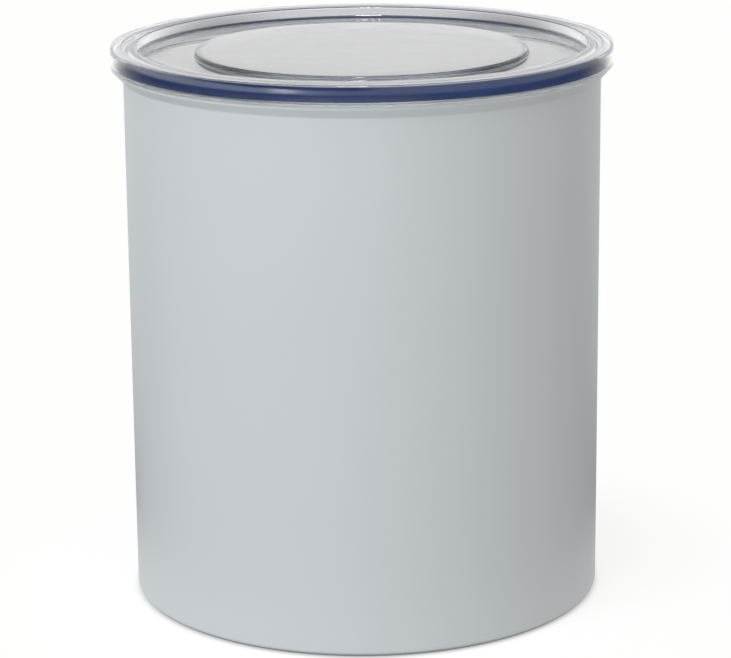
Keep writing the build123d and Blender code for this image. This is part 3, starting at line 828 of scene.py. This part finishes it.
def changing(tree, value, span, start, end):
    """A level that changes smoothly from start to end while a value crosses a span.

    With s the share of the span that is crossed, from 0 to 1, it is start + (end - start) (3 s^2 - 2 s^3).
    """
    share = add(tree, "ShaderNodeMapRange", {"interpolation_type": "SMOOTHSTEP"}, Value=value,
                From_Min=span[0], From_Max=span[1])
    level = add(tree, "ShaderNodeMix", {"data_type": "FLOAT"}, _0=share.outputs[0], _2=start, _3=end)
    return level.outputs[0]


def mirrored_room(tree, direction):
    """Brightness of the room in a direction.

    Behind the canister it is white. On the lens's side the floor is dark, and so is the upper air on
    the left and in the middle. The far end of the table and the wall over it make a pale strip,
    brighter on the window's side and brightest where the window itself is mirrored. Straight up is
    the ceiling.
    """
    split = add(tree, "ShaderNodeSeparateXYZ", Vector=direction)
    across, ahead, up = split.outputs[:3]
    off_window = add(tree, "ShaderNodeMath", {"operation": "SUBTRACT"}, _0=across, _1=WINDOW_ACROSS)
    off_window = add(tree, "ShaderNodeMath", {"operation": "ABSOLUTE"}, _0=off_window.outputs[0])
    glare = changing(tree, off_window.outputs[0], (0, WINDOW_HALF), WINDOW_GLARE, 0)
    glare = changing(tree, up, WINDOW_FOOT, 0, glare)
    wall = changing(tree, across, WALL_TURN, WALL_LEFT, WALL_RIGHT)
    wall = add(tree, "ShaderNodeMath", {"operation": "ADD"}, _0=wall, _1=glare)
    lens_side = changing(tree, up, TABLE_END, LENS_DARK, wall.outputs[0])
    upper_air = changing(tree, across, DARK_AIR_END, LENS_DARK, lens_side)
    lens_side = changing(tree, up, WALL_TOP, lens_side, upper_air)
    above = changing(tree, ahead, BACK_ABOVE, lens_side, BACK_WHITE)
    below = changing(tree, ahead, BACK_BELOW, lens_side, BACK_WHITE)
    level = changing(tree, up, HORIZON, below, above)
    return changing(tree, up, CEILING_START, level, CEILING)


# %% [markdown]
# Cycles tells a shader what kind of ray has arrived, and that decides how bright the room is. The eye
# sees plain white. A ray that has met only gloss and clear plastic sees the mirrored room, which is
# dimmer to the left and right for a ray that comes through the clear plastic. A ray that left a matt
# surface asks for a lamp's light. Lamps can't reach a matt surface through clear plastic, so for what
# lies under the lid the room is brighter instead.

# %% The room's strength for each kind of ray
ROOM_GLOW = 0.56
UNDER_CLEAR = 1.5
SIDE_DIM = 0.24
SIDE_SPAN = (0.22, 0.62)
STEEP_SPAN = (-0.55, -0.4)


def room_strength(tree, direction):
    """Strength of the room's white for the ray that meets it, and 1 for the eye, gloss and clear plastic.

    It is 1 to the eye, the mirrored room to a ray that has met only gloss and clear plastic, and a
    lamp's level to a ray that left a matt surface. Looked at steeply through the lid, the floor
    stays plain white.
    """
    rays = add(tree, "ShaderNodeLightPath")
    eye = rays.outputs["Is Camera Ray"]
    through = rays.outputs["Is Transmission Ray"]
    across, _, up = add(tree, "ShaderNodeSeparateXYZ", Vector=direction).outputs[:3]
    sideways = add(tree, "ShaderNodeMath", {"operation": "ABSOLUTE"}, _0=across).outputs[0]
    mirrored = mirrored_room(tree, direction)
    dimmed = add(tree, "ShaderNodeMath", {"operation": "MULTIPLY"}, _0=mirrored,
                 _1=changing(tree, sideways, SIDE_SPAN, 1, SIDE_DIM))
    under_lid = changing(tree, up, STEEP_SPAN, 1, dimmed.outputs[0])
    room = add(tree, "ShaderNodeMix", {"data_type": "FLOAT"}, _0=through, _2=mirrored, _3=under_lid)
    lamp = add(tree, "ShaderNodeMix", {"data_type": "FLOAT"}, _0=through, _2=ROOM_GLOW, _3=UNDER_CLEAR)
    bright = add(tree, "ShaderNodeMath", {"operation": "MAXIMUM"}, _0=rays.outputs["Is Glossy Ray"],
                 _1=through)
    no_matt = add(tree, "ShaderNodeMath", {"operation": "LESS_THAN"}, _0=rays.outputs["Diffuse Depth"],
                  _1=0.5)
    mirror = add(tree, "ShaderNodeMath", {"operation": "MULTIPLY"}, _0=bright.outputs[0],
                 _1=no_matt.outputs[0])
    level = add(tree, "ShaderNodeMix", {"data_type": "FLOAT"}, _0=mirror.outputs[0], _2=lamp.outputs[0],
                _3=room.outputs[0])
    level = add(tree, "ShaderNodeMix", {"data_type": "FLOAT"}, _0=eye, _2=level.outputs[0], _3=1)
    seen = add(tree, "ShaderNodeMath", {"operation": "MAXIMUM"}, _0=eye, _1=bright.outputs[0])
    return level.outputs[0], seen.outputs[0]


# %% [markdown]
# Near the canister the floor is a real sheet of paper that takes a soft shadow, and further out it
# turns into the room's plain white. In a studio so much light comes back from all sides that a shadow
# on white paper stays pale. A few lamps can't do that, so this paper is greyer than real paper and a
# steady glow of its own makes up the rest, which no shadow takes away. The glow fades in the last
# 2 mm before the can's wall and on under its foot, so the narrow dark line there is a painted contact
# shadow that sets the can on the floor. The distances here are in metres from the axis.

# %% Floor
FLOOR_HALF = 8.0
SHADOW_REACH = 0.13
SHADOW_FADE = 0.07
SHADOW_END = (SHADOW_REACH - SHADOW_FADE / 2, SHADOW_REACH + SHADOW_FADE / 2)
PAPER_LIFT = 0.76
PAPER_GLOW = 0.4
# Span where the floor's glow fades into a painted contact shadow at the can's foot.
FOOT_SHADE = (0.0795, 0.0868)
FOOT_GLOW = 0.1


def studio_floor():
    """A square sheet at height 0, on which the canister stands."""
    places = np.array([(-1, -1, 0), (1, -1, 0), (1, 1, 0), (-1, 1, 0)]) * FLOOR_HALF
    piece = mesh_piece("studio_floor", places, np.arange(4), np.array([4]))
    material, tree, out = new_material("white_paper_floor")
    place = add(tree, "ShaderNodeTexCoord").outputs["Object"]
    away = add(tree, "ShaderNodeVectorMath", {"operation": "LENGTH"}, _0=place).outputs["Value"]
    heading = add(tree, "ShaderNodeVectorMath", {"operation": "SUBTRACT"}, _0=place, _1=(0, 0, TOP * MM))
    heading = add(tree, "ShaderNodeVectorMath", {"operation": "NORMALIZE"}, _0=heading.outputs[0])
    level, seen = room_strength(tree, heading.outputs[0])
    paper = add(tree, "ShaderNodeBsdfDiffuse", Color=linear("#9A9A99"))
    lift = add(tree, "ShaderNodeMix", {"data_type": "FLOAT"}, _0=seen, _2=PAPER_GLOW, _3=PAPER_LIFT)
    lift = add(tree, "ShaderNodeMath", {"operation": "MULTIPLY"}, _0=lift.outputs[0],
               _1=changing(tree, away, FOOT_SHADE, FOOT_GLOW, 1))
    lift = add(tree, "ShaderNodeEmission", Color=linear("#FEFEFD"), Strength=lift.outputs[0])
    near = add(tree, "ShaderNodeAddShader", _0=paper.outputs[0], _1=lift.outputs[0])
    glow = add(tree, "ShaderNodeEmission", Color=linear("#FEFEFD"), Strength=level)
    blend = add(tree, "ShaderNodeMath", {"operation": "MULTIPLY"}, _0=seen,
                _1=changing(tree, away, SHADOW_END, 0, 1))
    mixed = add(tree, "ShaderNodeMixShader", _0=blend.outputs[0], _1=near.outputs[0], _2=glow.outputs[0])
    tree.links.new(mixed.outputs[0], out.inputs[0])
    piece.data.materials.append(material)
    return piece


floor = studio_floor()

# %% [markdown]
# The light is a broad cool window from the left, a weak warm card on the right and the white room all
# round. A small lamp over the lens is there for the gloss alone: it puts the white sparks on the rim.
# The world is dimmer for the light that it throws than for what the camera sees.

# %% Room light


def white_room():
    """World: plain white to the eye, the mirrored room to gloss, and dimmer as a lamp."""
    world = bpy.data.worlds.new("white_room")
    world.use_nodes = True
    tree = world.node_tree
    tree.nodes.clear()
    direction = add(tree, "ShaderNodeTexCoord").outputs["Generated"]
    level, _ = room_strength(tree, direction)
    glow = add(tree, "ShaderNodeBackground", Color=linear("#FFFFFF"), Strength=level)
    out = add(tree, "ShaderNodeOutputWorld")
    tree.links.new(glow.outputs[0], out.inputs[0])
    bpy.context.scene.world = world


def softbox(name, place, target, size, power, colour):
    """A rectangular lamp that faces a target point."""
    data = bpy.data.lights.new(name, "AREA")
    data.shape = "RECTANGLE"
    data.size, data.size_y = size
    data.energy = power
    data.color = linear(colour)[:3]
    lamp = bpy.data.objects.new(name, data)
    lamp.location = place
    lamp.rotation_euler = (Vector(target) - Vector(place)).to_track_quat("-Z", "Y").to_euler()
    bpy.context.scene.collection.objects.link(lamp)
    print(f"{name}: {power} W over {size[0]} m x {size[1]} m")
    return lamp


white_room()
MIDDLE = (0, 0, TOP * MM / 2)
window = softbox("window_left", (-0.92, -1.42, 1.0), MIDDLE, (1.7, 1.1), 20, "#F6F9FF")
card = softbox("card_right", (1.5, -0.6, 0.8), MIDDLE, (0.9, 1.2), 1, "#FFF1DC")
lens_light = softbox("lens_light", (-0.1, -1.45, 0.88), MIDDLE, (0.35, 0.5), 16, "#FFFFFF")
for lamp, gloss in ((window, False), (card, False), (lens_light, True)):
    lamp.visible_glossy = gloss
    lamp.visible_transmission = False
    lamp.visible_diffuse = not gloss

# %% [markdown]
# A product photographer stands back and uses a long lens, so that the can looks straight. The
# camera's place, tilt and focal length were worked out from the can's outline in the photograph.
# Light that winds through the clear rim meets many surfaces, so it may bounce more often than usual.

# %% Camera
PHOTO_WIDTH = 731
FOCAL_PIXELS = 2883.0
SENSOR = 36.0
CAMERA_PLACE = (0.0, -1.0122, 0.3664)
PITCH = math.radians(15.04)
YAW = math.radians(0.02)
ROLL = math.radians(-0.55)
LIGHT_STEPS = 32


def studio_camera():
    """Camera from its pitch, yaw and roll: forward, right and up make the columns of its turn."""
    forward = Vector((math.sin(YAW) * math.cos(PITCH), math.cos(YAW) * math.cos(PITCH), -math.sin(PITCH)))
    right = forward.cross(Vector((0, 0, 1))).normalized()
    up = right.cross(forward)
    side = right * math.cos(ROLL) + up * math.sin(ROLL)
    top = up * math.cos(ROLL) - right * math.sin(ROLL)
    data = bpy.data.cameras.new("studio_camera")
    data.sensor_width = SENSOR
    data.lens = FOCAL_PIXELS / PHOTO_WIDTH * SENSOR
    data.clip_start = 0.01
    print(f"camera: {data.lens:.1f} mm lens on a {SENSOR:.0f} mm sensor")
    camera = bpy.data.objects.new("studio_camera", data)
    turn = Matrix((side, top, -forward)).transposed().to_4x4()
    camera.matrix_world = Matrix.Translation(CAMERA_PLACE) @ turn
    bpy.context.scene.collection.objects.link(camera)
    return camera


bpy.context.scene.camera = studio_camera()
bpy.context.scene.view_settings.view_transform = "Standard"
bpy.context.scene.cycles.max_bounces = LIGHT_STEPS
bpy.context.scene.cycles.transmission_bounces = LIGHT_STEPS
bpy.context.scene.cycles.glossy_bounces = LIGHT_STEPS
